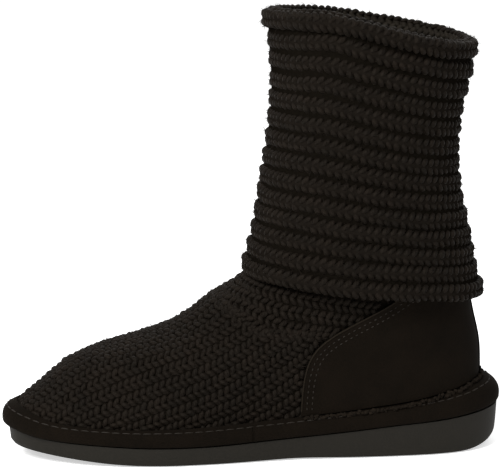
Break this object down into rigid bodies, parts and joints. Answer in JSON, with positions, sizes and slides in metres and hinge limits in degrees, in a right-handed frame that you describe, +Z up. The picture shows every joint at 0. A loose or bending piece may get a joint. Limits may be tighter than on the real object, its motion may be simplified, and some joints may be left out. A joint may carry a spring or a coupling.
{
  "type": "sweater boot",
  "caption": "Right foot ankle boot with a knitted foot, a ribbed knit shaft folded down as a cuff, a suede heel counter and rand, and a low moulded sole.",
  "frame": {"origin": "centre of the boot's box at the level of the floor that its sole stands on", "axes": "+X from the toe to the heel, +Y to the outer side of the foot, +Z up the shaft"},
  "size_m": [0.2682, 0.1028, 0.2345],
  "materials": {
    "sole": "moulded, matt, dark grey",
    "suede": "suede with a short black nap",
    "knit": "chunky two-ply black wool-blend yarn, slightly fuzzy",
    "fleece": "short black fleece"
  },
  "bodies": {
    "root": {"outsole": "sole", "rand": "suede", "upper": "knit", "heel_counter": "suede", "back_stay": "suede", "shaft": "knit", "footbed": "fleece"}
  },
  "joints": []
}
